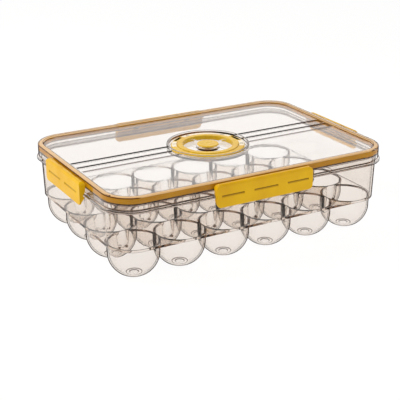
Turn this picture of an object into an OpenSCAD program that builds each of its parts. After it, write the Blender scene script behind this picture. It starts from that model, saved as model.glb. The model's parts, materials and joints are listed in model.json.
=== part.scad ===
// Egg keeper for the fridge: a clear tray of moulded cups under a clear lid that
// four hinged latches hold down, with a turning date dial in the middle of the lid.
// Millimetres, +Z up. The origin is the middle of the footprint, on the shelf.
// +X runs along the long side, and -Y is the long side with the front latch.

/* [Cups] */
// Cups along the long side
columns = 6; // [4:1:7]
// Cups along the short side
rows = 4; // [3:1:5]
// Distance from one cup's centre to the next
cup_pitch = 49.35; // [49.2:0.05:50.5]
// Inside radius of a cup at its rim
cup_r = 24.2; // [22.5:0.05:24.3]
// Thickness of a cup's side
cup_wall = 1.5; // [1:0.1:2]
// Thickness of a cup's floor
cup_floor = 1.5; // [1.2:0.1:2.5]
// Diameter of the flat foot under each cup
foot_d = 16; // [10:0.5:22]
// Draft of a cup's side above its bowl, in degrees
cup_draft = 1.5; // [0.5:0.1:2.5]
// Diameter of the round dimple in each cup's floor
dimple_d = 9; // [5:0.5:12]
// Depth of the dimple
dimple_h = 0.5; // [0.3:0.1:0.7]

/* [Tray] */
// Height of the deck that joins the cup rims
deck_z = 35.5; // [33:0.5:40]
// Thickness of the deck
deck_t = 2; // [1.5:0.1:3]
// Thickness of the side wall
wall_t = 2; // [1.6:0.1:2.4]
// How far the side wall leans out from the deck to the lip
wall_lean = 1.4; // [0.6:0.1:2]
// Space on the deck between the end cups and the wall
end_margin = 1.65; // [1:0.05:6]
// Space on the deck between the side cups and the wall
side_margin = 1; // [1:0.05:6]
// Height of the wall from the deck to the lip
wall_h = 38.4; // [30:0.5:60]
// Thickness of the lip that the latches snap under
lip_t = 2; // [1.5:0.1:3]
// How far the lip stands out past the lid
lip_proud = 1.6; // [1.2:0.1:2]
// Height of the rim above the lip
rim_h = 6.75; // [5.5:0.05:9]
// How far the rim stands out past the top of the wall
rim_jog = 0.4; // [0.2:0.1:1]
// Space between the rim and the lid's skirt
rim_room = 0.8; // [0.4:0.1:1.2]

/* [Lid] */
// Radius of the lid's corners in plan
corner_r = 30; // [26:0.5:36]
// Thickness of the outer skirt
skirt_t = 1.8; // [1.4:0.1:2.2]
// Gap that shows between the skirt and the tray's lip
skirt_gap = 1.3; // [0.8:0.1:2]
// Thickness of the roof over the seal
roof_t = 1.8; // [1.5:0.1:2.5]
// How far the raised border reaches inwards past the seal
border_past = 0.3; // [0.2:0.1:1]
// How far the flat panel lies below the border
panel_drop = 1.6; // [1:0.1:1.7]
// Thickness of the flat panel
panel_t = 2; // [1.6:0.1:2.6]
// Thickness of the inner wall that enters the tray
plug_t = 2; // [1.8:0.1:2.4]
// How far the inner wall reaches below the tray's rim
plug_reach = 3.1; // [2:0.1:5]
// Width of the sunk band that crosses the lid
band_w = 26.4; // [18:0.2:40]
// Depth of the sunk band
band_depth = 1.1; // [0.4:0.1:1.4]
// Width of the bead along the middle of the band
bead_w = 2.2; // [1:0.1:4]

/* [Seal] */
// Height of the seal
seal_h = 5.2; // [4:0.1:6]

/* [Latches] */
// Length of the front and back latches
long_latch = 108; // [90:1:130]
// Length of the end latches
short_latch = 84; // [70:1:90]
// How far a latch reaches below its catch
latch_tail = 8; // [6.5:0.5:12]
// Radius of the rounded top of a latch
barrel_r = 3.3; // [3.2:0.05:3.6]
// Thickness of a latch's face
face_t = 2; // [1.6:0.1:2.2]
// Thickness of a latch's end walls
latch_end_t = 2.4; // [1.8:0.1:4]
// How far the top of a latch lies below the lid's border
latch_drop = 1.3; // [0.6:0.1:1.8]
// Radius of a latch's corners, seen from outside
latch_round = 5; // [1:0.5:7]
// Radius of a latch's hinge pin
pin_r = 1.1; // [0.9:0.05:1.2]
// Wall of the hinge lug round its pin
lug_wall = 0.74; // [0.6:0.02:0.8]
// Width of a hinge lug
lug_w = 6; // [4:0.5:10]
// Distance from a lug's middle to the end of its latch
lug_inset = 22; // [16:1:30]
// Height of each grip slot in a latch's face
slot_h = 2.4; // [1.5:0.1:4]
// Depth of each grip slot
slot_depth = 1.2; // [0.4:0.1:1.4]
// Length of the middle slot on a long latch
mid_slot = 27; // [20:1:32]
// Space between two slots
slot_gap = 11; // [6:0.5:14]
// Distance from a long latch's end to its first slot
long_inset = 5; // [3:0.5:10]
// Distance from an end latch's end to its first slot
short_inset = 8; // [3:0.5:12]
// Distance from a latch's top to its slots
slot_drop = 10.8; // [9:0.1:13]

/* [Dial] */
// Wall of the clear collar round the dial and of the well below it
collar_t = 2; // [1.4:0.1:2.6]
// How far the collar stands above the panel
collar_rise = 1.6; // [0.4:0.1:1.6]
// Space between the collar and the date ring
collar_gap = 2.6; // [1:0.1:5]
// Thickness of the well's floor
well_floor = 1.8; // [1.4:0.1:2.4]
// Thickness of the number plate
plate_t = 1.8; // [1.2:0.1:2.6]
// Width of the date ring's top
ring_w = 6; // [5.2:0.1:9]
// Thickness of the date ring's walls
ring_t = 1.1; // [1:0.1:1.4]
// Radius of the opening inside the knob's rim
eye_r = 26; // [22:0.5:30]
// Thickness of the knob's inner wall
eye_wall = 1.6; // [1.2:0.1:2]
// Width of the knob's rim
knob_w = 5.9; // [5.2:0.1:9]
// Thickness of the knob's rim
knob_t = 1.2; // [0.9:0.1:1.6]
// Space between the knob's rim and the date ring's step below it
knob_play = 0.45; // [0.3:0.05:0.8]
// Width of the knob's spokes
spoke_w = 2.4; // [2:0.1:6]
// Radius of the button in the middle
button_r = 11.2; // [9:0.1:14]
// Radius of the button's stem
stem_r = 3; // [2.5:0.1:4]
// Radius of the clear boss that the stem turns in
boss_r = 12; // [8:0.5:14]
// How far the knob's rim stands above the panel
knob_rise = 0.5; // [0.2:0.1:1]
// How far the button stands above the panel
button_rise = 0.7; // [0.2:0.1:1.5]
// How far the spokes are turned from the lid's axes, in degrees
spoke_turn = 15; // [0:1:89]
// Direction of the first date window, in degrees
window_a = 4; // [0:1:89]
// Angle from the first date window to the second
window_step = 120; // [60:5:180]
// Length of a date window
window_l = 13.5; // [5:0.5:15]
// Width of a date window
window_w = 3.2; // [2:0.1:3.4]

/* [Fits] */
// Clearance between pieces that are pressed or laid together
seat = 0.05; // [0.03:0.01:0.1]
// Clearance of a pin or a stem in its bore
turn = 0.06; // [0.04:0.01:0.09]
// Clearance between pieces that pass each other
pass = 0.3; // [0.25:0.01:0.4]

/* [Hidden] */
// Facets of large and small rounds, and the overlap of cutting shapes past a face
$fn = 96;
fine = 48;
past = 1;

// Heights from the shelf up
deck_bottom = deck_z - deck_t;
lip_z = deck_z + wall_h;
lip_top = lip_z + lip_t;
rim_top = lip_top + rim_h;
seal_z = rim_top + pass;
channel_z = seal_z + seal_h + seat;
lid_top = channel_z + roof_t;
skirt_z = lip_top + skirt_gap;
plug_z = rim_top - plug_reach;
panel_top = lid_top - panel_drop;
panel_z = panel_top - panel_t;
knob_top = panel_top + knob_rise;
step_top = knob_top - knob_t - knob_play;
ring_step = step_top - ring_t;
plate_z = ring_step - pass - plate_t;
well_z = plate_z - seat;
well_bottom = well_z - well_floor;

// Offsets from the lid's outline, outwards positive
rim_u = -skirt_t - rim_room;
rim_in = rim_u - wall_t;
plug_u = rim_in - pass;
plug_in = plug_u - plug_t;
lip_wall_u = rim_u - rim_jog;
deck_u = lip_wall_u - wall_lean;
channel_w = -skirt_t - plug_u;
border_u = plug_u - border_past;
border_slope = 0.9;

// Lid's outline, which follows from the cups and the space round them
lid_l = (columns - 1) * cup_pitch + 2 * (cup_r + end_margin + wall_t - deck_u);
lid_w = (rows - 1) * cup_pitch + 2 * (cup_r + side_margin + wall_t - deck_u);

// Cup's bowl, a little narrower than its rim
bowl_step = 0.2;
bowl_r = cup_r - bowl_step;
bowl_z = sqrt(pow(bowl_r + cup_wall, 2) - pow(foot_d / 2, 2));

// Latch section, measured outwards from the skirt
axis_u = pass + barrel_r;
axis_z = lid_top - latch_drop - barrel_r;
face_u = axis_u + barrel_r;
face_in = face_u - face_t;
lug_r = pin_r + turn + lug_wall;
lug_room = lug_r + pass;
arm_gap = 0.8;
arm_w = 1.6;
arm_drop = 1;
arm_u = face_in - arm_gap;
arm_z = axis_z - barrel_r - arm_drop - arm_w;
catch_drop = 0.5;
catch_z = lip_z - catch_drop;
catch_u = lip_proud + pass;
latch_z = catch_z - latch_tail;
latch_h = axis_z + barrel_r - latch_z;
slot_z = axis_z + barrel_r - slot_drop;

// Share of a pin's width that the mouth of its snap leaves open
mouth = 0.8;

// Dial, from its middle outwards and up
knob_r = eye_r + knob_w;
ring_r = knob_r + pass + ring_w;
well_r = ring_r + collar_gap;
collar_r = well_r + collar_t;
guide_t = 1.1;
guide_room = 0.4;
guide_r = eye_r + eye_wall + guide_room + guide_t;
boss_h = 1.9;
boss_z = well_z + boss_h;
spoke_z = boss_z + pass;
spoke_t = 1.5;
button_z = spoke_z + spoke_t + seat;
button_top = panel_top + button_rise;
clip_t = 1.2;
clip_z = well_bottom - pass - clip_t;
groove_depth = 0.8;
groove_r = stem_r - groove_depth;

// Lays a section along the outline: x is the offset outwards, y is the height
module along_outline() {
    for (side = [0:3])
        rotate([0, 0, 90 * side]) {
            len = (side % 2 == 0 ? lid_l : lid_w) - 2 * corner_r;
            out = (side % 2 == 0 ? lid_w : lid_l) / 2;
            translate([0, -out, 0])
                rotate([90, 0, -90])
                    linear_extrude(len, center = true)
                        children();
            translate([len / 2, corner_r - out, 0])
                rotate([0, 0, -90])
                    rotate_extrude(angle = 90)
                        translate([corner_r, 0])
                            children();
        }
}

// Plate with the outline's corners, offset outwards by u
module outline_plate(u, z, h) {
    r = corner_r + u;
    translate([0, 0, z])
        linear_extrude(h)
            union() {
                square([lid_l + 2 * u, lid_w - 2 * corner_r], center = true);
                square([lid_l - 2 * corner_r, lid_w + 2 * u], center = true);
                for (sx = [-1, 1], sy = [-1, 1])
                    translate([sx * (lid_l / 2 - corner_r), sy * (lid_w / 2 - corner_r)])
                        circle(r);
            }
}

// Puts its children at each cup's centre
module at_cups() {
    for (i = [0:columns - 1], j = [0:rows - 1])
        translate([(i - (columns - 1) / 2) * cup_pitch, (j - (rows - 1) / 2) * cup_pitch, 0])
            children();
}

// Solid of a cup: a drafted side over a bowl, grown by the wall for the outside
module cup_solid(grow, floor_z, top_z) {
    rotate_extrude()
        intersection() {
            polygon([[0, floor_z],
                     [cup_r + grow - (deck_z - floor_z) * tan(cup_draft), floor_z],
                     [cup_r + grow - (deck_z - top_z) * tan(cup_draft), top_z],
                     [0, top_z]]);
            union() {
                translate([0, bowl_z])
                    circle(bowl_r + grow);
                translate([0, bowl_z])
                    square([2 * cup_r, top_z]);
            }
        }
}

// Section of the tray's wall with its lip and rim
module wall_section() {
    bevel = 0.4;
    polygon([[deck_u, deck_bottom],
             [lip_wall_u, lip_z],
             [lip_proud - bevel, lip_z],
             [lip_proud, lip_z + bevel],
             [lip_proud, lip_top - bevel],
             [lip_proud - bevel, lip_top],
             [rim_u, lip_top],
             [rim_u, rim_top - bevel],
             [rim_u - bevel, rim_top],
             [rim_in + bevel, rim_top],
             [rim_in, rim_top - bevel],
             [deck_u - wall_t, deck_z],
             [deck_u - wall_t, deck_bottom]]);
}

module tray() {
    color([0.86, 0.80, 0.76, 0.45])
        difference() {
            union() {
                along_outline()
                    wall_section();
                outline_plate(deck_u - wall_t / 2, deck_bottom, deck_t);
                at_cups()
                    cup_solid(cup_wall, 0, deck_z - deck_t / 2);
            }
            at_cups()
                cup_solid(0, cup_floor, deck_z + past);
            at_cups()
                translate([0, 0, cup_floor - dimple_h])
                    cylinder(r = dimple_d / 2, h = dimple_h + past, $fn = fine);
        }
}

// Section of the lid's rim: skirt, roof over the seal and plug wall
module lid_section() {
    edge_r = 1.6;
    difference() {
        union() {
            polygon([[0, skirt_z],
                     [0, lid_top - edge_r],
                     [-edge_r, lid_top - edge_r],
                     [-edge_r, lid_top],
                     [border_u, lid_top],
                     [border_u - border_slope, panel_top],
                     [plug_in, panel_top],
                     [plug_in, plug_z],
                     [plug_u, plug_z],
                     [plug_u, skirt_z]]);
            translate([-edge_r, lid_top - edge_r])
                circle(edge_r, $fn = fine);
        }
        translate([plug_u, plug_z - past])
            square([channel_w, channel_z - plug_z + past]);
        translate([plug_u - past, skirt_z - past])
            square([channel_w + past, plug_z - skirt_z + past]);
    }
}

// Hook on the skirt that a latch's pin snaps into, in the latch's own frame
module hinge_lug() {
    rotate([90, 0, -90])
        linear_extrude(lug_w, center = true)
            difference() {
                union() {
                    translate([axis_u, axis_z])
                        circle(lug_r, $fn = fine);
                    translate([arm_u - arm_w, arm_z])
                        square([arm_w, axis_z - arm_z - lug_r / 2]);
                    translate([-skirt_t / 2, arm_z])
                        square([arm_u + skirt_t / 2, arm_w]);
                }
                translate([axis_u, axis_z])
                    circle(pin_r + turn, $fn = fine);
                translate([axis_u - mouth * pin_r, axis_z])
                    square([2 * mouth * pin_r, lug_r + past]);
            }
}

// Frame of the latch on one side: x along the side, -y outwards from the skirt
module on_side(side) {
    rotate([0, 0, 90 * side])
        translate([0, -(side % 2 == 0 ? lid_w : lid_l) / 2, 0])
            children();
}

function latch_length(side) = side % 2 == 0 ? long_latch : short_latch;

module lid() {
    band_end = 1;
    color([0.88, 0.83, 0.79, 0.4])
        difference() {
            union() {
                along_outline()
                    lid_section();
                outline_plate(plug_u - plug_t / 2, panel_z, panel_t);
                translate([0, 0, well_bottom])
                    cylinder(r = collar_r, h = panel_top + collar_rise - well_bottom);
                for (side = [0:3])
                    on_side(side)
                        for (s = [-1, 1])
                            translate([s * (latch_length(side) / 2 - lug_inset), 0, 0])
                                hinge_lug();
            }
            difference() {
                for (s = [-1, 1])
                    translate([0, s * (band_w + bead_w) / 4, panel_top])
                        cube([lid_l + 2 * (plug_in - band_end), (band_w - bead_w) / 2,
                              2 * band_depth], center = true);
                cylinder(r = collar_r, h = lid_top);
            }
            difference() {
                translate([0, 0, well_z])
                    cylinder(r = well_r, h = lid_top - well_z);
                translate([0, 0, well_z - past])
                    cylinder(r = boss_r, h = boss_z - well_z + past);
            }
            translate([0, 0, well_bottom - past])
                cylinder(r = stem_r + turn, h = lid_top - well_bottom, $fn = fine);
        }
}

// Seal ring, chamfered below so that it enters the tray's rim evenly
module lid_gasket() {
    bevel = 0.5;
    color([0.80, 0.58, 0.13])
        along_outline()
            polygon([[plug_u + seat, seal_z + seal_h],
                     [plug_u + seat, seal_z + bevel],
                     [plug_u + seat + bevel, seal_z],
                     [-skirt_t - seat - bevel, seal_z],
                     [-skirt_t - seat, seal_z + bevel],
                     [-skirt_t - seat, seal_z + seal_h]]);
}

// Section of a latch between its ends: rounded top, face, catch and finger tip
module latch_section() {
    tip = 0.6;
    catch_t = 1;
    catch_slope = 3.6;
    translate([axis_u, axis_z])
        circle(barrel_r, $fn = fine);
    polygon([[face_in, axis_z],
             [face_in, catch_z],
             [catch_u, catch_z],
             [catch_u, catch_z - catch_t],
             [face_in, catch_z - catch_t - catch_slope],
             [face_in, latch_z + tip],
             [face_in + tip, latch_z],
             [face_u - tip, latch_z],
             [face_u, latch_z + tip],
             [face_u, axis_z]]);
}

// Section of a latch's end wall, which steps out round the tray's lip
module latch_end_section() {
    swing_u = pass + 1;
    latch_section();
    polygon([[pass, axis_z],
             [swing_u, skirt_z + 2 * pass],
             [lip_proud + swing_u, skirt_z - pass],
             [lip_proud + swing_u, catch_z],
             [face_in + face_t / 2, catch_z],
             [face_in + face_t / 2, axis_z]]);
}

// Section of the room that a latch leaves round a hinge lug
module lug_room_section() {
    notch_a = 15;
    notch_h = barrel_r + past;
    translate([axis_u, axis_z])
        circle(lug_room, $fn = fine);
    polygon([[axis_u, axis_z],
             [axis_u - notch_h * tan(notch_a), axis_z + notch_h],
             [-past, axis_z + notch_h],
             [-past, axis_z - barrel_r - past],
             [face_in, axis_z - barrel_r - past],
             [face_in, axis_z]]);
}

// Outline of a latch seen from outside, with its corners rounded
module latch_outline(len) {
    translate([0, latch_z])
        union() {
            translate([-len / 2, latch_round])
                square([len, latch_h - 2 * latch_round]);
            translate([latch_round - len / 2, 0])
                square([len - 2 * latch_round, latch_h]);
            for (sx = [-1, 1], z = [latch_round, latch_h - latch_round])
                translate([sx * (len / 2 - latch_round), z])
                    circle(latch_round, $fn = fine);
        }
}

// Grip slot: a ledge at the top that runs out to the face below
module grip_slot(len) {
    rotate([90, 0, -90])
        linear_extrude(len, center = true)
            polygon([[face_u + past, slot_z],
                     [face_u - slot_depth, slot_z],
                     [face_u, slot_z - slot_h],
                     [face_u + past, slot_z - slot_h]]);
}

// Latch in its own frame, with its slots given as pairs of place and length
module latch(len, slots) {
    lug_x = len / 2 - lug_inset;
    room_w = lug_w + 2 * pass;
    color([0.89, 0.67, 0.12])
        difference() {
            union() {
                difference() {
                    intersection() {
                        union() {
                            rotate([90, 0, -90])
                                linear_extrude(len, center = true)
                                    latch_section();
                            for (s = [-1, 1])
                                translate([s * (len - latch_end_t) / 2, 0, 0])
                                    rotate([90, 0, -90])
                                        linear_extrude(latch_end_t, center = true)
                                            latch_end_section();
                        }
                        translate([0, past, 0])
                            rotate([90, 0, 0])
                                linear_extrude(face_u + 2 * past)
                                    latch_outline(len);
                    }
                    for (s = [-1, 1])
                        translate([s * lug_x, 0, 0])
                            rotate([90, 0, -90])
                                linear_extrude(room_w, center = true)
                                    lug_room_section();
                }
                for (s = [-1, 1])
                    translate([s * lug_x, -axis_u, axis_z])
                        rotate([0, 90, 0])
                            cylinder(r = pin_r, h = room_w + past, center = true, $fn = fine);
            }
            for (slot = slots)
                translate([slot[0], 0, 0])
                    grip_slot(slot[1]);
        }
}

module long_side_latch() {
    side_slot = (long_latch - mid_slot) / 2 - slot_gap - long_inset;
    step = (mid_slot + side_slot) / 2 + slot_gap;
    latch(long_latch, [[-step, side_slot], [0, mid_slot], [step, side_slot]]);
}

module end_side_latch() {
    end_slot = (short_latch - slot_gap) / 2 - short_inset;
    step = (end_slot + slot_gap) / 2;
    latch(short_latch, [[-step, end_slot], [step, end_slot]]);
}

module latch_front() {
    on_side(0)
        long_side_latch();
}

module latch_right() {
    on_side(1)
        end_side_latch();
}

module latch_back() {
    on_side(2)
        long_side_latch();
}

module latch_left() {
    on_side(3)
        end_side_latch();
}

// Dark number plate on the well's floor, with the guide that the date ring turns on
module dial_plate() {
    color([0.10, 0.09, 0.08])
        rotate_extrude()
            polygon([[guide_r - guide_t, plate_z],
                     [guide_r - guide_t, step_top - pass],
                     [guide_r, step_top - pass],
                     [guide_r, plate_z + plate_t],
                     [ring_r - ring_t - pass, plate_z + plate_t],
                     [ring_r - ring_t - pass, plate_z]]);
}

// Date ring with two windows on the plate's numbers, held down by the knob's rim
module dial_ring() {
    ring_drop = 0.2;
    crest = panel_top - ring_drop;
    bevel = 0.6;
    color([0.93, 0.74, 0.22])
        difference() {
            rotate_extrude()
                polygon([[guide_r + turn, ring_step],
                         [guide_r + turn, step_top],
                         [knob_r + pass, step_top],
                         [knob_r + pass, crest],
                         [ring_r - bevel, crest],
                         [ring_r, crest - bevel],
                         [ring_r, well_z + pass],
                         [ring_r - ring_t, well_z + pass],
                         [ring_r - ring_t, crest - ring_t],
                         [knob_r + pass + ring_t, crest - ring_t],
                         [knob_r + pass + ring_t, ring_step]]);
            for (k = [0, 1])
                rotate([0, 0, window_a + k * window_step])
                    translate([ring_r - ring_w / 2, 0, ring_step - past])
                        linear_extrude(crest - ring_step + 2 * past)
                            union() {
                                square([window_w, window_l - window_w], center = true);
                                for (s = [-1, 1])
                                    translate([0, s * (window_l - window_w) / 2])
                                        circle(window_w / 2, $fn = fine);
                            }
        }
}

// Turning knob: a rounded rim with a deep inner wall, four spokes and a hub
module dial_knob() {
    round_r = knob_t / 2;
    hub_wall = 1.2;
    color([0.93, 0.70, 0.16])
        difference() {
            union() {
                rotate_extrude()
                    union() {
                        translate([eye_r, well_z + pass])
                            square([eye_wall, knob_top - round_r - well_z - pass]);
                        translate([eye_r + round_r, knob_top - knob_t])
                            square([knob_r - eye_r - 2 * round_r, knob_t]);
                        for (r = [eye_r + round_r, knob_r - round_r])
                            translate([r, knob_top - round_r])
                                circle(round_r, $fn = fine);
                    }
                for (k = [0:3])
                    rotate([0, 0, spoke_turn + 90 * k])
                        translate([0, -spoke_w / 2, spoke_z])
                            cube([eye_r + eye_wall / 2, spoke_w, spoke_t]);
                translate([0, 0, spoke_z])
                    cylinder(r = stem_r + hub_wall, h = spoke_t, $fn = fine);
            }
            translate([0, 0, spoke_z - past])
                cylinder(r = stem_r + seat, h = spoke_t + 2 * past, $fn = fine);
        }
}

// Button on the knob, whose stem turns in the lid's boss
module dial_button() {
    edge_r = min(0.8, 0.45 * (button_top - button_z));
    color([0.90, 0.72, 0.18])
        difference() {
            rotate_extrude()
                union() {
                    translate([0, clip_z - clip_t])
                        square([stem_r, button_z - clip_z + clip_t + edge_r]);
                    translate([0, button_z])
                        square([button_r, button_top - button_z - edge_r]);
                    translate([0, button_z])
                        square([button_r - edge_r, button_top - button_z]);
                    translate([button_r - edge_r, button_top - edge_r])
                        circle(edge_r, $fn = fine);
                }
            translate([0, 0, clip_z - seat])
                difference() {
                    cylinder(r = stem_r + past, h = clip_t + 2 * seat, $fn = fine);
                    translate([0, 0, -past])
                        cylinder(r = groove_r, h = clip_t + 2 * past, $fn = fine);
                }
        }
}

// Open clip in the stem's groove, below the well's floor
module dial_clip() {
    clip_w = 3.5;
    clip_r = stem_r + clip_w;
    color([0.80, 0.80, 0.80])
        translate([0, 0, clip_z])
            difference() {
                cylinder(r = clip_r, h = clip_t, $fn = fine);
                translate([0, 0, -past])
                    cylinder(r = groove_r + seat, h = clip_t + 2 * past, $fn = fine);
                translate([0, -mouth * groove_r, -past])
                    cube([clip_r + past, 2 * mouth * groove_r, clip_t + 2 * past]);
            }
}

tray();
lid();
lid_gasket();
latch_front();
latch_back();
latch_left();
latch_right();
dial_plate();
dial_ring();
dial_knob();
dial_button();
dial_clip();
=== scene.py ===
import json
import math

import bpy
from mathutils import Matrix, Vector

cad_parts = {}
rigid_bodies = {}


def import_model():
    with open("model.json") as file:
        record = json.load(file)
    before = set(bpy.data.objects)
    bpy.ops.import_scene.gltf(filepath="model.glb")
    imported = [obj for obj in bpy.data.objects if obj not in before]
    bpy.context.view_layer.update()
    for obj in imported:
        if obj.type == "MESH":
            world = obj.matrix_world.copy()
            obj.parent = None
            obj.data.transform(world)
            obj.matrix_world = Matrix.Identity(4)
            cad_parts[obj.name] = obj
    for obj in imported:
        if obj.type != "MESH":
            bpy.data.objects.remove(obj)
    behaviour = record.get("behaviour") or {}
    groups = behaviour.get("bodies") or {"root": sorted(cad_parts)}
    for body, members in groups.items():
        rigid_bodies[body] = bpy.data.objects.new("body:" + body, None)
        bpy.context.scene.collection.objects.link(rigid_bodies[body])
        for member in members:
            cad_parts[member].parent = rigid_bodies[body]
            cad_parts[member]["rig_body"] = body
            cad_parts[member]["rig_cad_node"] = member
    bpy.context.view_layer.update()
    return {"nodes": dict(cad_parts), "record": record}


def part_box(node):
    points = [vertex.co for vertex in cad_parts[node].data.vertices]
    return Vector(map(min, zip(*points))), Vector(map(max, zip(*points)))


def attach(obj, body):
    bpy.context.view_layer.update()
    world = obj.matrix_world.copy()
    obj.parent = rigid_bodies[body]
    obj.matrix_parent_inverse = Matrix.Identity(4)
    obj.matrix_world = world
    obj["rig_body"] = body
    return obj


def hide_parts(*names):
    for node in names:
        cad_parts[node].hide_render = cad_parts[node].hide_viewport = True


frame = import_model()
nodes = frame["nodes"]
bodies = frame["record"]["behaviour"]["bodies"]
bpy.ops.object.select_all(action="DESELECT")

MM = 0.001
LATCHES = ["latch_front", "latch_back", "latch_left", "latch_right"]

# Where the photograph was taken from, and how it is framed
CAMERA_PLACE = (-0.5044, -0.8805, 0.4264)
CAMERA_AIM = (0, 0, 0.045)
LENS = 92.7
SENSOR = 36
SHIFT = (-0.0196, -0.0431)
# How often light may pass through the clear walls, and how often it may be reflected
PASSES = 24
REFLECTIONS = 8

# The way from the camera to behind the box, and the room's light on its near and its far side
BEHIND = (0.7, 0.71, 0)
NEAR_LIGHT = 0.65
FAR_LIGHT = 1.15
# The room's colours: low down, high up and straight above the box
ROOM_WHITE = (1, 1, 1, 1)
ROOM_BROWN = (0.17, 0.10, 0.055, 1)
ROOM_DARK = (0.10, 0.06, 0.03, 1)
# The two soft lamps: their size in metres, their places and their power in watts
LAMP_SIZE = 0.8
KEY_PLACE = (-1.2, 0.5, 1.3)
KEY_POWER = 25
FILL_PLACE = (0.9, -0.9, 1.2)
FILL_POWER = 7
# The floor: its size in metres, its paint, and how much of its white is a glow of its own
FLOOR_SIZE = 8
FLOOR_PAINT = (0.9, 0.9, 0.9, 1)
FLOOR_GLOW = 1.03
FLOOR_GLOW_SHARE = 0.9

# Colours as they look on a screen, 0 to 255
SEAL_YELLOW = (188, 134, 0)
SEAL_DEEP = (168, 112, 0)
# A painted pale veil for the seal's top, which stands in for the light that the lid's roof lays over it
SEAL_PAINTED_VEIL = (226, 190, 136)
LATCH_YELLOW = (224, 177, 2)
LATCH_DEEP = (210, 159, 0)
# The painted shade in the latches' grip slots
SLOT_PAINTED_SHADE = (84, 44, 2)
DIAL_YELLOW = (230, 192, 48)
DIAL_DEEP = (214, 168, 30)
PLATE_BLACK = (24, 20, 18)
PLATE_GREY = (36, 32, 29)
# The dial's painted black shade, on its window walls and at the foot of the knob's inner wall
DIAL_PAINTED_SHADE = (20, 16, 14)
CLIP_WHITE = (222, 220, 212)
CLIP_DULL = (206, 203, 194)
LABEL_CREAM = (250, 242, 222)
LABEL_DULL = (238, 226, 200)
INK_BLACK = (36, 30, 26)
INK_GREY = (58, 50, 44)

# The tint that the clear plastic gives to light on its way through, and how strongly
TRAY_STAIN = (0.64, 0.47, 0.31)
TRAY_STAIN_DENSITY = 120
LID_STAIN = (0.70, 0.56, 0.43)
LID_STAIN_DENSITY = 40
# The painted dark brown shade on the clear plastic's edges, which stands in for the shade they show, and
# the painted shade of what is left of light that slants through its skin
PAINTED_EDGE_SHADE = (0.028, 0.0055, 0.0009, 1)
SLANT_PAINTED_SHADE = (0.17, 0.075, 0.03, 1)

# The attribute that marks the faces that take painted dark lines, painted shade or a painted pale veil
NOTE = "noted"
# What it says on the clear pieces: never dark, the painted dark line of a rounded edge, and the other
# painted dark lines
PLAIN = -1
FULL_LINE = 1
DARKEST_LINE = 1.15
STRIP_LINE = 1.02
COLLAR_LINE = 0.8
BORDER_LINE = 0.25
SPIDER_LINE = 0.4
# What it says on the coloured pieces, where 1 is their painted shade alone, or on the seal its painted
# pale veil
FULL_PAINTED_SHADE = 1
EYE_PAINTED_SHADE = 0.2
VEIL_PAINTED_LIGHT = 0.8
# The height of a face's normal, at most when the face is upright, and at least when it is level
UPRIGHT = 0.3
HALF_LEVEL = 0.5
LEVEL = 0.9
# How far down the normals of the border's faces may turn
OVERHANG = -0.1

# The lid's outline, which lies this far outside the seal
BORDER = 1.85 * MM
LID_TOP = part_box("lid")[1][2]
LID_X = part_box("lid_gasket")[1][0] + BORDER
LID_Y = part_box("lid_gasket")[1][1] + BORDER
CORNER = 30 * MM
# The border's inner edge, where a painted dark line runs: how deep it lies below the top, how far inside
# the outline, and its two ends
BORDER_DEPTH = (0.5 * MM, 1.9 * MM)
BORDER_WIDTH = 1.7 * MM
BORDER_END = 25 * MM
# The painted dark line along the seal's foot: its heights, and how far inside the outline it lies at most
SEAL_FOOT = (82.1 * MM, 83.2 * MM)
SEAL_FOOT_WIDTH = 0.4 * MM
# The band across the panel, whose sides take painted dark lines: half its width, how deep its sides lie,
# and the painted dark strip along its near side
BAND_HALF = 14 * MM
BAND_DEPTH = (1.4 * MM, 2.9 * MM)
BAND_STRIP = (-17 * MM, -13.4 * MM)
BAND_END = 147 * MM

# Distances from the dial's axis: the boss under the stem, the collar, and where the dial's part ends
BOSS = (11 * MM, 13 * MM)
COLLAR = (40 * MM, 43.5 * MM)
COLLAR_SIDE = 43 * MM
MIDDLE = 100 * MM

# The latches' grip slots, which take a painted shade: their heights, and how deep they lie in the latch's
# face
SLOT_HEIGHT = (75.6 * MM, 78 * MM)
SLOT_DEPTH = (0.05 * MM, 1.5 * MM)

# The knob: the opening inside its rim, and how far out the wall of that opening goes
EYE = 25.9 * MM
EYE_WALL = 26.6 * MM
# The date ring: its middle line, half its windows' width, its top, and how deep the plate lies below
RING_MIDDLE = 35.2 * MM
WINDOW_HALF = 2 * MM
RING_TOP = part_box("dial_ring")[1][2]
PLATE_DROP = 2.35 * MM
PLATE_TOP = RING_TOP - PLATE_DROP
# The ring's printed labels, as start and span in degrees, and the numbers on them with their angles
LABELS = ((19, 90), (139, 26), (-38, 27))
LABEL_WIDTH = 4.6 * MM
LABEL_THICKNESS = 0.14 * MM
LABEL_STEP = 4
TENS = (("5", 152), ("10", 98), ("20", 34), ("25", -26))
TENS_SIZE = 4.4 * MM
TENS_RISE = 0.13 * MM
# The days on the number plate, which start under the first window
FIRST_WINDOW = 4
DAYS = 31
DAY_SIZE = 2.6 * MM
INK_THICKNESS = 0.03 * MM


def linear(colour):
    """A screen colour as the light values that a shader takes."""
    parts = [c / 255 for c in colour]
    return tuple(p / 12.92 if p <= 0.04045 else ((p + 0.055) / 1.055) ** 2.4 for p in parts) + (1,)


def within(value, span):
    return span[0] < value < span[1]


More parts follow.
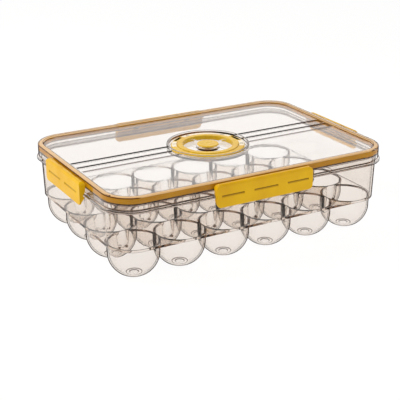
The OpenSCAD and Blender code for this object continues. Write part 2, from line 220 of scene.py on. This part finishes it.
def set_up_camera():
    scene = bpy.context.scene
    camera = bpy.data.objects.new("camera", bpy.data.cameras.new("camera"))
    scene.collection.objects.link(camera)
    scene.camera = camera
    camera.location = CAMERA_PLACE
    aim = Vector(CAMERA_AIM) - camera.location
    camera.rotation_euler = aim.to_track_quat("-Z", "Y").to_euler()
    camera.data.lens = LENS
    camera.data.sensor_width = SENSOR
    camera.data.shift_x, camera.data.shift_y = SHIFT
    scene.view_settings.view_transform = "Standard"
    scene.cycles.max_bounces = PASSES
    scene.cycles.transmission_bounces = PASSES
    scene.cycles.transparent_max_bounces = PASSES
    scene.cycles.glossy_bounces = REFLECTIONS


def add_node(tree, kind, **settings):
    """A new node in a tree, with its settings."""
    made = tree.nodes.new(kind)
    for name, value in settings.items():
        setattr(made, name, value)
    return made


def new_group(name, takes, gives):
    """An empty node group with its named inputs, as name, kind and value, and its outputs."""
    group = bpy.data.node_groups.new(name, "ShaderNodeTree")
    for label, kind, value in takes:
        socket = group.interface.new_socket(label, in_out="INPUT", socket_type=kind)
        socket.default_value = value
    for label, kind in gives:
        group.interface.new_socket(label, in_out="OUTPUT", socket_type=kind)
    return group, add_node(group, "NodeGroupInput"), add_node(group, "NodeGroupOutput")


def moulded_skin_group():
    """The faint waves and fine grain of a moulded face, and how its gloss drifts."""
    group, take, give_out = new_group(
        "moulded_skin",
        [("Wave Size", "NodeSocketFloat", 60), ("Grain Size", "NodeSocketFloat", 900),
         ("Grain Share", "NodeSocketFloat", 0.2), ("Low Gloss", "NodeSocketFloat", 0.2),
         ("High Gloss", "NodeSocketFloat", 0.4)],
        [("Height", "NodeSocketFloat"), ("Roughness", "NodeSocketFloat")])
    link = group.links.new
    place = add_node(group, "ShaderNodeTexCoord")
    wave = add_node(group, "ShaderNodeTexNoise")
    wave.inputs["Detail"].default_value = 2
    grain = add_node(group, "ShaderNodeTexNoise")
    grain.inputs["Detail"].default_value = 3
    for noise, size in ((wave, "Wave Size"), (grain, "Grain Size")):
        link(place.outputs["Object"], noise.inputs["Vector"])
        link(take.outputs[size], noise.inputs["Scale"])
    blend = add_node(group, "ShaderNodeMix")
    link(take.outputs["Grain Share"], blend.inputs["Factor"])
    link(wave.outputs["Fac"], blend.inputs["A"])
    link(grain.outputs["Fac"], blend.inputs["B"])
    link(blend.outputs["Result"], give_out.inputs["Height"])
    gloss = add_node(group, "ShaderNodeMapRange")
    gloss.inputs["From Min"].default_value = 0.35
    gloss.inputs["From Max"].default_value = 0.65
    link(wave.outputs["Fac"], gloss.inputs["Value"])
    link(take.outputs["Low Gloss"], gloss.inputs["To Min"])
    link(take.outputs["High Gloss"], gloss.inputs["To Max"])
    link(gloss.outputs["Result"], give_out.inputs["Roughness"])
    return group


def colour_drift_group():
    """Two shades of one plastic that run into each other, a painted shade where noted (on the seal a
    painted pale veil), and fine dust on top.
    """
    group, take, give_out = new_group(
        "colour_drift",
        [("Shade", "NodeSocketColor", (1, 1, 1, 1)), ("Deep Shade", "NodeSocketColor", (1, 1, 1, 1)),
         ("Noted Shade", "NodeSocketColor", (1, 1, 1, 1)),
         ("Dust", "NodeSocketColor", (0.9, 0.88, 0.84, 1)), ("Dust Share", "NodeSocketFloat", 0.1),
         ("Patch Size", "NodeSocketFloat", 35)],
        [("Color", "NodeSocketColor")])
    link = group.links.new
    place = add_node(group, "ShaderNodeTexCoord")
    patch = add_node(group, "ShaderNodeTexNoise")
    patch.inputs["Detail"].default_value = 4
    link(place.outputs["Object"], patch.inputs["Vector"])
    link(take.outputs["Patch Size"], patch.inputs["Scale"])
    run = add_node(group, "ShaderNodeMapRange")
    run.inputs["From Min"].default_value = 0.3
    run.inputs["From Max"].default_value = 0.7
    link(patch.outputs["Fac"], run.inputs["Value"])
    noted = add_node(group, "ShaderNodeAttribute", attribute_name=NOTE)
    shades = add_node(group, "ShaderNodeMix", data_type="RGBA")
    link(run.outputs["Result"], shades.inputs["Factor"])
    link(take.outputs["Shade"], shades.inputs["A"])
    link(take.outputs["Deep Shade"], shades.inputs["B"])
    marked = add_node(group, "ShaderNodeMix", data_type="RGBA")
    link(noted.outputs["Fac"], marked.inputs["Factor"])
    link(shades.outputs["Result"], marked.inputs["A"])
    link(take.outputs["Noted Shade"], marked.inputs["B"])
    specks = add_node(group, "ShaderNodeTexNoise")
    specks.inputs["Scale"].default_value = 1400
    specks.inputs["Detail"].default_value = 2
    link(place.outputs["Object"], specks.inputs["Vector"])
    fleck = add_node(group, "ShaderNodeMapRange")
    fleck.inputs["From Min"].default_value = 0.58
    fleck.inputs["From Max"].default_value = 0.72
    link(specks.outputs["Fac"], fleck.inputs["Value"])
    facing_up = add_node(group, "ShaderNodeNewGeometry")
    split = add_node(group, "ShaderNodeSeparateXYZ")
    link(facing_up.outputs["Normal"], split.inputs[0])
    settled = add_node(group, "ShaderNodeMath", operation="MULTIPLY", use_clamp=True)
    link(split.outputs["Z"], settled.inputs[0])
    link(fleck.outputs["Result"], settled.inputs[1])
    share = add_node(group, "ShaderNodeMath", operation="MULTIPLY", use_clamp=True)
    link(settled.outputs[0], share.inputs[0])
    link(take.outputs["Dust Share"], share.inputs[1])
    dusted = add_node(group, "ShaderNodeMix", data_type="RGBA")
    link(share.outputs[0], dusted.inputs["Factor"])
    link(marked.outputs["Result"], dusted.inputs["A"])
    link(take.outputs["Dust"], dusted.inputs["B"])
    link(dusted.outputs["Result"], give_out.inputs["Color"])
    return group


def edge_lines_group():
    """The colour of a clear moulding: clear, and a painted brown shade wherever it is noted, as dark lines
    that stand in for the shade at its edges.
    """
    group, take, give_out = new_group(
        "painted_edge_lines",
        [("Clear", "NodeSocketColor", (1, 1, 1, 1)), ("Line", "NodeSocketColor", (0, 0, 0, 1)),
         ("Line Strength", "NodeSocketFloat", 0.9)],
        [("Color", "NodeSocketColor")])
    link = group.links.new
    noted = add_node(group, "ShaderNodeAttribute", attribute_name=NOTE)
    line = add_node(group, "ShaderNodeMath", operation="MULTIPLY", use_clamp=True)
    link(noted.outputs["Fac"], line.inputs[0])
    link(take.outputs["Line Strength"], line.inputs[1])
    colour = add_node(group, "ShaderNodeMix", data_type="RGBA")
    link(line.outputs[0], colour.inputs["Factor"])
    link(take.outputs["Clear"], colour.inputs["A"])
    link(take.outputs["Line"], colour.inputs["B"])
    link(colour.outputs["Result"], give_out.inputs["Color"])
    return group


SKIN_GROUP = moulded_skin_group()
DRIFT_GROUP = colour_drift_group()
PAINTED_LINES_GROUP = edge_lines_group()


def place_group(tree, group, **values):
    """A node group in a material, with values for its inputs."""
    made = add_node(tree, "ShaderNodeGroup", node_tree=group)
    for label, value in values.items():
        made.inputs[label.replace("_", " ")].default_value = value
    return made


def new_material(name):
    """A new material with its node tree and its main shader."""
    material = bpy.data.materials.new(name)
    material.use_nodes = True
    return material, material.node_tree, material.node_tree.nodes["Principled BSDF"]


def add_skin(tree, skin, depth, **values):
    """Gives a material its moulded waves, grain and drifting gloss."""
    detail = place_group(tree, SKIN_GROUP, **values)
    tree.links.new(detail.outputs["Roughness"], skin.inputs["Roughness"])
    bump = add_node(tree, "ShaderNodeBump")
    bump.inputs["Strength"].default_value = 1
    bump.inputs["Distance"].default_value = depth
    tree.links.new(detail.outputs["Height"], bump.inputs["Height"])
    tree.links.new(bump.outputs["Normal"], skin.inputs["Normal"])


def slant_mask(tree):
    """Where a clear wall seen at a steep slant takes its painted shade, apart from level faces and those
    noted as plain.
    """
    link = tree.links.new
    slant = add_node(tree, "ShaderNodeLayerWeight")
    ramp = add_node(tree, "ShaderNodeValToRGB")
    steps = ramp.color_ramp
    steps.elements[0].position = 0.7
    steps.elements[0].color = (0, 0, 0, 1)
    steps.elements[1].position = 0.84
    steps.elements[1].color = (1, 1, 1, 1)
    steps.elements.new(0.76).color = (0.75, 0.75, 0.75, 1)
    link(slant.outputs["Facing"], ramp.inputs[0])
    facing = add_node(tree, "ShaderNodeNewGeometry")
    split = add_node(tree, "ShaderNodeSeparateXYZ")
    link(facing.outputs["Normal"], split.inputs[0])
    level = add_node(tree, "ShaderNodeMath", operation="ABSOLUTE")
    link(split.outputs["Z"], level.inputs[0])
    upright = add_node(tree, "ShaderNodeMapRange")
    upright.inputs["From Min"].default_value = 0.92
    upright.inputs["From Max"].default_value = 0.75
    link(level.outputs[0], upright.inputs["Value"])
    noted = add_node(tree, "ShaderNodeAttribute", attribute_name=NOTE)
    lined = add_node(tree, "ShaderNodeMapRange")
    lined.inputs["From Min"].default_value = PLAIN
    lined.inputs["From Max"].default_value = 0
    link(noted.outputs["Fac"], lined.inputs["Value"])
    steep = add_node(tree, "ShaderNodeMath", operation="MULTIPLY")
    link(ramp.outputs[0], steep.inputs[0])
    link(upright.outputs["Result"], steep.inputs[1])
    mask = add_node(tree, "ShaderNodeMath", operation="MULTIPLY")
    link(steep.outputs[0], mask.inputs[0])
    link(lined.outputs["Result"], mask.inputs[1])
    return mask.outputs[0]


def clear_plastic(name, stain, density):
    """Clear moulded plastic: it stains what shows through it, and its edges and slanting sides go dark
    with painted shade.
    """
    material, tree, skin = new_material(name)
    link = tree.links.new
    skin.inputs["Transmission Weight"].default_value = 1
    skin.inputs["IOR"].default_value = 1.45
    skin.inputs["Specular Tint"].default_value = (0.35, 0.35, 0.35, 1)
    add_skin(tree, skin, 0.05 * MM, Wave_Size=45, Grain_Size=400, Grain_Share=0.02,
             Low_Gloss=0.01, High_Gloss=0.05)
    lines = place_group(tree, PAINTED_LINES_GROUP, Line=PAINTED_EDGE_SHADE, Line_Strength=0.95)
    link(lines.outputs["Color"], skin.inputs["Base Color"])
    brown = add_node(tree, "ShaderNodeBsdfTransparent")
    brown.inputs[0].default_value = SLANT_PAINTED_SHADE
    edged = add_node(tree, "ShaderNodeMixShader")
    link(slant_mask(tree), edged.inputs[0])
    link(skin.outputs[0], edged.inputs[1])
    link(brown.outputs[0], edged.inputs[2])
    out = tree.nodes["Material Output"]
    depth = add_node(tree, "ShaderNodeVolumeAbsorption")
    depth.inputs["Color"].default_value = (*stain, 1)
    depth.inputs["Density"].default_value = density
    link(depth.outputs[0], out.inputs["Volume"])
    path = add_node(tree, "ShaderNodeLightPath")
    light = add_node(tree, "ShaderNodeMath", operation="MAXIMUM")
    link(path.outputs["Is Shadow Ray"], light.inputs[0])
    link(path.outputs["Is Diffuse Ray"], light.inputs[1])
    window = add_node(tree, "ShaderNodeBsdfTransparent")
    mix = add_node(tree, "ShaderNodeMixShader")
    link(light.outputs[0], mix.inputs[0])
    link(edged.outputs[0], mix.inputs[1])
    link(window.outputs[0], mix.inputs[2])
    link(mix.outputs[0], out.inputs["Surface"])
    return material


def coloured_plastic(name, shade, deep_shade, painted_light, dust, **values):
    """Solid coloured plastic or silicone with its own skin, and the painted shade, or on the seal the
    painted pale veil, that it takes where noted.
    """
    material, tree, skin = new_material(name)
    skin.inputs["Specular IOR Level"].default_value = 0.22
    drift = place_group(tree, DRIFT_GROUP, Shade=linear(shade), Deep_Shade=linear(deep_shade),
                        Noted_Shade=linear(painted_light), Dust_Share=dust)
    tree.links.new(drift.outputs["Color"], skin.inputs["Base Color"])
    add_skin(tree, skin, 0.04 * MM, **values)
    return material


def body_of(node):
    """The body that a node moves with."""
    return next(body for body, members in bodies.items() if node in members)


def pick(piece):
    """Makes one piece the only selected and active one."""
    bpy.ops.object.select_all(action="DESELECT")
    piece.select_set(True)
    bpy.context.view_layer.objects.active = piece


def keep_faces(keep):
    """Deletes the faces whose least radius fails the test and closes the holes that this leaves."""
    bpy.ops.mesh.select_mode(type="FACE")
    bpy.ops.mesh.select_all(action="DESELECT")
    bpy.ops.object.mode_set(mode="OBJECT")
    mesh = bpy.context.object.data
    for face in mesh.polygons:
        face.select = not keep(min(mesh.vertices[v].co.xy.length for v in face.vertices))
    bpy.ops.object.mode_set(mode="EDIT")
    bpy.ops.mesh.delete(type="FACE")
    bpy.ops.mesh.select_all(action="SELECT")
    bpy.ops.mesh.fill_holes(sides=0)
    bpy.ops.mesh.normals_make_consistent(inside=False)


def note_faces(piece, note):
    """Notes on each face how dark its painted line is, or how far it takes the painted shade."""
    mesh = piece.data
    notes = mesh.attributes.new(NOTE, "FLOAT", "FACE")
    for face in mesh.polygons:
        notes.data[face.index].value = note(face)
        face.material_index = 0
    mesh.materials.pop(index=1)


def paint_slot_shade(piece):
    """Notes the points of a latch that lie in its grip slots, below the face that it turns outwards, for
    the painted shade in the slots.
    """
    mesh = piece.data
    notes = mesh.attributes.new(NOTE, "FLOAT", "POINT")
    middle = sum((v.co for v in mesh.vertices), Vector()) / len(mesh.vertices)
    axis = 0 if abs(middle.x) > abs(middle.y) else 1
    side = 1 if middle[axis] > 0 else -1
    face = max(side * v.co[axis] for v in mesh.vertices)
    for point in mesh.vertices:
        in_slot = within(point.co.z, SLOT_HEIGHT) and within(face - side * point.co[axis], SLOT_DEPTH)
        notes.data[point.index].value = FULL_PAINTED_SHADE if in_slot else 0
    mesh.materials.pop(index=1)


def unmarked(face):
    return 0


def soften(node, name, radius, material, grow=0, angle=32, keep=None, note=unmarked, cut=()):
    """Puts a copy with rounded edges, as a mould leaves them, in a node's place.

    Edges sharper than the angle, in degrees, are rounded. A piece may keep some of its faces, be cut
    along planes so that faces can be noted apart, and grow. The note says how a face is marked.
    """
    piece = nodes[node].copy()
    piece.data = nodes[node].data.copy()
    piece.name = piece.data.name = name
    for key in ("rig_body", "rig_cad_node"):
        del piece[key]
    piece.parent = None
    piece.hide_viewport = piece.hide_render = False
    bpy.context.scene.collection.objects.link(piece)
    pick(piece)
    bpy.ops.mesh.customdata_custom_splitnormals_clear()
    bpy.ops.object.mode_set(mode="EDIT")
    bpy.ops.mesh.select_all(action="SELECT")
    bpy.ops.mesh.remove_doubles(threshold=1e-6)
    bpy.ops.mesh.dissolve_limited(angle_limit=math.radians(0.6))
    if keep:
        keep_faces(keep)
    for place, across in cut:
        bpy.ops.mesh.select_all(action="SELECT")
        bpy.ops.mesh.bisect(plane_co=place, plane_no=across)
    if grow:
        bpy.ops.mesh.select_all(action="SELECT")
        bpy.ops.transform.shrink_fatten(value=grow)
    bpy.ops.object.mode_set(mode="OBJECT")
    # The rounded faces take the second slot, which tells them apart until they are noted
    piece.data.materials.clear()
    piece.data.materials.append(material)
    piece.data.materials.append(material)
    bevel = piece.modifiers.new("rounded_edges", "BEVEL")
    bevel.width = radius
    bevel.segments = 2
    bevel.limit_method = "ANGLE"
    bevel.angle_limit = math.radians(angle)
    bevel.harden_normals = True
    # A limit would follow the shortest edge and leave the clear pieces with hardly any rounding
    bevel.use_clamp_overlap = node not in ("lid", "tray")
    bevel.material = 1
    bpy.ops.object.modifier_apply(modifier=bevel.name)
    if node in LATCHES:
        paint_slot_shade(piece)
    else:
        note_faces(piece, note)
    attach(piece, body_of(node))
    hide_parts(node)


def rounded_edges(face):
    """A full painted dark line, which stands in for shade, on the faces that the rounding made."""
    return FULL_LINE * face.material_index


def reach(face):
    """The least and the greatest distance of a face's points from the dial's axis."""
    across = [face.id_data.vertices[v].co.xy.length for v in face.vertices]
    return min(across), max(across)


def inset(place):
    """How far a place lies inside the lid's outline."""
    x = LID_X - abs(place.x)
    y = LID_Y - abs(place.y)
    if x < CORNER and y < CORNER:
        return CORNER - math.hypot(CORNER - x, CORNER - y)
    return min(x, y)


def lid_painted_lines(face):
    """Painted dark lines of the lid, which stand in for the shade at its clear edges: rounded edges,
    collar, boss, band, border and the seal's foot.
    """
    near, far = reach(face)
    below = LID_TOP - face.center.z
    edge = inset(face.center)
    level = face.normal.z > LEVEL
    upright = abs(face.normal.z) < UPRIGHT
    if near > COLLAR[0] and far < COLLAR[1]:
        return COLLAR_LINE if level else PLAIN
    if upright and near > BOSS[0] and far < BOSS[1]:
        return DARKEST_LINE
    if upright and abs(face.center.y) < BAND_HALF and within(below, BAND_DEPTH) and near > COLLAR_SIDE:
        return FULL_LINE
    if far < MIDDLE:
        return rounded_edges(face)
    if face.normal.z > OVERHANG and within(below, BORDER_DEPTH) and edge < BORDER_WIDTH:
        return DARKEST_LINE if abs(face.center.x) > LID_X - BORDER_END else BORDER_LINE
    if upright and within(face.center.z, SEAL_FOOT) and edge < SEAL_FOOT_WIDTH:
        return FULL_LINE
    if level and within(face.center.y, BAND_STRIP) and near > COLLAR[0]:
        return STRIP_LINE
    return rounded_edges(face)


def spider_painted_lines(face):
    """Fainter painted dark lines on the edges of the knob's clear spider."""
    return SPIDER_LINE * face.material_index


def eye_wall_painted_shade(face):
    """The painted shade on the wall inside the knob's rim, painted black along its foot as a shadow."""
    if reach(face)[1] > EYE_WALL:
        return 0
    return FULL_PAINTED_SHADE if face.normal.z < -UPRIGHT else EYE_PAINTED_SHADE


def window_painted_shade(face):
    """The walls of the date ring's windows, painted black as the shade inside the windows."""
    middle = abs(face.center.xy.length - RING_MIDDLE) < WINDOW_HALF
    return FULL_PAINTED_SHADE if middle and abs(face.normal.z) < HALF_LEVEL else 0


def seal_painted_veil(face):
    """The painted pale veil on the seal's top, which stands in for the light that the lid's roof lays over
    it.
    """
    return VEIL_PAINTED_LIGHT if face.normal.z > HALF_LEVEL else 0


def dress_box():
    """The tray, the lid, the seal and the latches. Gives back the lid's plastic."""
    tray = clear_plastic("clear_tray_plastic", TRAY_STAIN, TRAY_STAIN_DENSITY)
    soften("tray", "tray_moulding", 0.42 * MM, tray, angle=16, note=rounded_edges)
    lid = clear_plastic("clear_lid_plastic", LID_STAIN, LID_STAIN_DENSITY)
    cuts = [((0, BAND_STRIP[0], 0), (0, 1, 0))]
    cuts += [((side * BAND_END, 0, 0), (1, 0, 0)) for side in (-1, 1)]
    cuts += [((0, 0, height), (0, 0, 1)) for height in SEAL_FOOT]
    soften("lid", "lid_moulding", 0.3 * MM, lid, note=lid_painted_lines, cut=cuts)
    silicone = coloured_plastic("silicone", SEAL_YELLOW, SEAL_DEEP, SEAL_PAINTED_VEIL, 0.05, Wave_Size=120,
                                Grain_Size=1500, Grain_Share=0.5, Low_Gloss=0.45, High_Gloss=0.65)
    soften("lid_gasket", "seal_ring", 0.2 * MM, silicone, grow=0.12 * MM, note=seal_painted_veil)
    latch = coloured_plastic("latch_yellow", LATCH_YELLOW, LATCH_DEEP, SLOT_PAINTED_SHADE, 0.15, Wave_Size=80,
                             Grain_Size=1800, Grain_Share=0.25, Low_Gloss=0.3, High_Gloss=0.45)
    for name in LATCHES:
        soften(name, name + "_moulding", 0.3 * MM, latch)
    return lid


def dress_dial(lid):
    """The dial's pieces: the knob's clear spider is a moulding of its own inside the yellow rim."""
    dial = coloured_plastic("dial_yellow", DIAL_YELLOW, DIAL_DEEP, DIAL_PAINTED_SHADE, 0.1, Wave_Size=90,
                            Grain_Size=1800, Grain_Share=0.2, Low_Gloss=0.2, High_Gloss=0.35)
    soften("dial_ring", "dial_ring_moulding", 0.2 * MM, dial, note=window_painted_shade)
    soften("dial_knob", "dial_knob_rim", 0.3 * MM, dial,
           keep=lambda radius: radius > EYE, note=eye_wall_painted_shade)
    soften("dial_knob", "dial_knob_spider", 0.3 * MM, lid,
           keep=lambda radius: radius < EYE, note=spider_painted_lines)
    soften("dial_button", "dial_button_moulding", 0.25 * MM, dial)
    plate = coloured_plastic("plate_black", PLATE_BLACK, PLATE_GREY, PLATE_GREY, 0.2, Wave_Size=150,
                             Grain_Size=2500, Grain_Share=0.7, Low_Gloss=0.5, High_Gloss=0.7)
    clip = coloured_plastic("clip_white", CLIP_WHITE, CLIP_DULL, CLIP_DULL, 0.1, Wave_Size=150,
                            Grain_Size=2500, Grain_Share=0.5, Low_Gloss=0.4, High_Gloss=0.55)
    soften("dial_plate", "dial_plate_moulding", 0.15 * MM, plate)
    soften("dial_clip", "dial_clip_moulding", 0.15 * MM, clip)


def label(start, span, material):
    """A thin printed label on the date ring, from one angle on over a span, in degrees."""
    bpy.ops.mesh.primitive_plane_add(size=1)
    piece = bpy.context.object
    bpy.ops.object.mode_set(mode="EDIT")
    bpy.ops.transform.resize(value=(LABEL_WIDTH, LABEL_THICKNESS, 1))
    bpy.ops.transform.rotate(value=math.pi / 2, orient_axis="X", center_override=(0, 0, 0))
    bpy.ops.transform.translate(value=(RING_MIDDLE, 0, RING_TOP + LABEL_THICKNESS / 4))
    bpy.ops.mesh.spin(steps=int(span / LABEL_STEP), angle=math.radians(span), center=(0, 0, 0),
                      axis=(0, 0, 1))
    bpy.ops.mesh.select_all(action="SELECT")
    bpy.ops.mesh.normals_make_consistent(inside=False)
    bpy.ops.object.mode_set(mode="OBJECT")
    # The turn is measured on the mesh, so it doesn't matter which way the spin went
    middle = sum((v.co for v in piece.data.vertices), Vector())
    turn = math.radians(start + span / 2) - math.atan2(middle.y, middle.x)
    piece.data.transform(Matrix.Rotation(turn, 4, "Z"))
    piece.data.materials.append(material)
    return piece


def number(text, size, angle, height, material):
    """A number that stands on the ring's middle line at an angle, read from outside."""
    bpy.ops.object.text_add()
    piece = bpy.context.object
    piece.data.body = text
    piece.data.size = size
    piece.data.align_x = "CENTER"
    piece.data.align_y = "CENTER"
    piece.data.extrude = INK_THICKNESS
    piece.data.resolution_u = 3
    bpy.ops.object.convert(target="MESH")
    upright = Matrix.Rotation(math.radians(angle + 90), 4, "Z")
    out = Vector((math.cos(math.radians(angle)), math.sin(math.radians(angle)), 0)) * RING_MIDDLE
    piece.data.transform(Matrix.Translation(out + Vector((0, 0, height))) @ upright)
    piece.data.materials.append(material)
    return piece


def join_as(name, pieces, body):
    """Joins pieces to one mesh that rides on a body."""
    bpy.ops.object.select_all(action="DESELECT")
    for piece in pieces:
        piece.select_set(True)
    bpy.context.view_layer.objects.active = pieces[0]
    bpy.ops.object.join()
    pieces[0].name = pieces[0].data.name = name
    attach(pieces[0], body)


def print_dial():
    """The labels and numbers of the date dial."""
    cream = coloured_plastic("label_cream", LABEL_CREAM, LABEL_DULL, LABEL_DULL, 0.1, Wave_Size=150,
                             Grain_Size=2500, Grain_Share=0.4, Low_Gloss=0.4, High_Gloss=0.6)
    ink = coloured_plastic("ink_black", INK_BLACK, INK_GREY, INK_GREY, 0, Wave_Size=150,
                           Grain_Size=2500, Grain_Share=0.4, Low_Gloss=0.4, High_Gloss=0.6)
    labels = [label(start, span, cream) for start, span in LABELS]
    join_as("ring_labels", labels, "dial_ring")
    tens = [number(text, TENS_SIZE, angle, RING_TOP + TENS_RISE, ink) for text, angle in TENS]
    join_as("ring_numbers", tens, "dial_ring")
    dates = [number(str(day + 1), DAY_SIZE, FIRST_WINDOW - day * 360 / DAYS, PLATE_TOP, cream)
             for day in range(DAYS)]
    join_as("plate_numbers", dates, "lid")


def light_room():
    """A soft studio: bright behind the box, dimmer and warmer on the near side and overhead."""
    world = bpy.data.worlds.new("studio")
    bpy.context.scene.world = world
    world.use_nodes = True
    tree = world.node_tree
    link = tree.links.new
    place = add_node(tree, "ShaderNodeTexCoord")
    split = add_node(tree, "ShaderNodeSeparateXYZ")
    link(place.outputs["Generated"], split.inputs[0])
    height = add_node(tree, "ShaderNodeValToRGB")
    link(split.outputs["Z"], height.inputs[0])
    steps = height.color_ramp
    steps.elements[0].color = ROOM_WHITE
    steps.elements[1].color = ROOM_DARK
    steps.elements.new(0.55).color = ROOM_WHITE
    steps.elements.new(0.75).color = ROOM_BROWN
    behind = add_node(tree, "ShaderNodeVectorMath", operation="DOT_PRODUCT")
    behind.inputs[1].default_value = BEHIND
    link(place.outputs["Generated"], behind.inputs[0])
    side = add_node(tree, "ShaderNodeMapRange")
    side.inputs["From Min"].default_value = -0.6
    side.inputs["From Max"].default_value = 0.6
    side.inputs["To Min"].default_value = NEAR_LIGHT
    side.inputs["To Max"].default_value = FAR_LIGHT
    link(behind.outputs["Value"], side.inputs["Value"])
    link(height.outputs[0], tree.nodes["Background"].inputs["Color"])
    link(side.outputs["Result"], tree.nodes["Background"].inputs["Strength"])


def add_lamp(name, place, power):
    """A soft lamp that points at the box and doesn't show in or through it."""
    lamp = bpy.data.lights.new(name, "AREA")
    lamp.size = LAMP_SIZE
    lamp.energy = power
    holder = bpy.data.objects.new(name, lamp)
    bpy.context.scene.collection.objects.link(holder)
    holder.location = place
    holder.visible_glossy = holder.visible_transmission = False
    aim = Vector(CAMERA_AIM) - holder.location
    holder.rotation_euler = aim.to_track_quat("-Z", "Y").to_euler()


def lay_floor():
    """A white floor, most of whose white is its own glow."""
    bpy.ops.mesh.primitive_plane_add(size=FLOOR_SIZE)
    floor = bpy.context.object
    floor.name = "floor"
    material, tree, skin = new_material("floor_white")
    skin.inputs["Base Color"].default_value = FLOOR_PAINT
    skin.inputs["Roughness"].default_value = 0.9
    skin.inputs["Specular IOR Level"].default_value = 0.1
    glow = add_node(tree, "ShaderNodeEmission")
    mix = add_node(tree, "ShaderNodeMixShader")
    mix.inputs[0].default_value = FLOOR_GLOW_SHARE
    glow.inputs["Strength"].default_value = FLOOR_GLOW
    tree.links.new(skin.outputs[0], mix.inputs[1])
    tree.links.new(glow.outputs[0], mix.inputs[2])
    tree.links.new(mix.outputs[0], tree.nodes["Material Output"].inputs["Surface"])
    floor.data.materials.append(material)


set_up_camera()
lid_plastic = dress_box()
dress_dial(lid_plastic)
print_dial()
light_room()
add_lamp("key", KEY_PLACE, KEY_POWER)
add_lamp("fill", FILL_PLACE, FILL_POWER)
lay_floor()
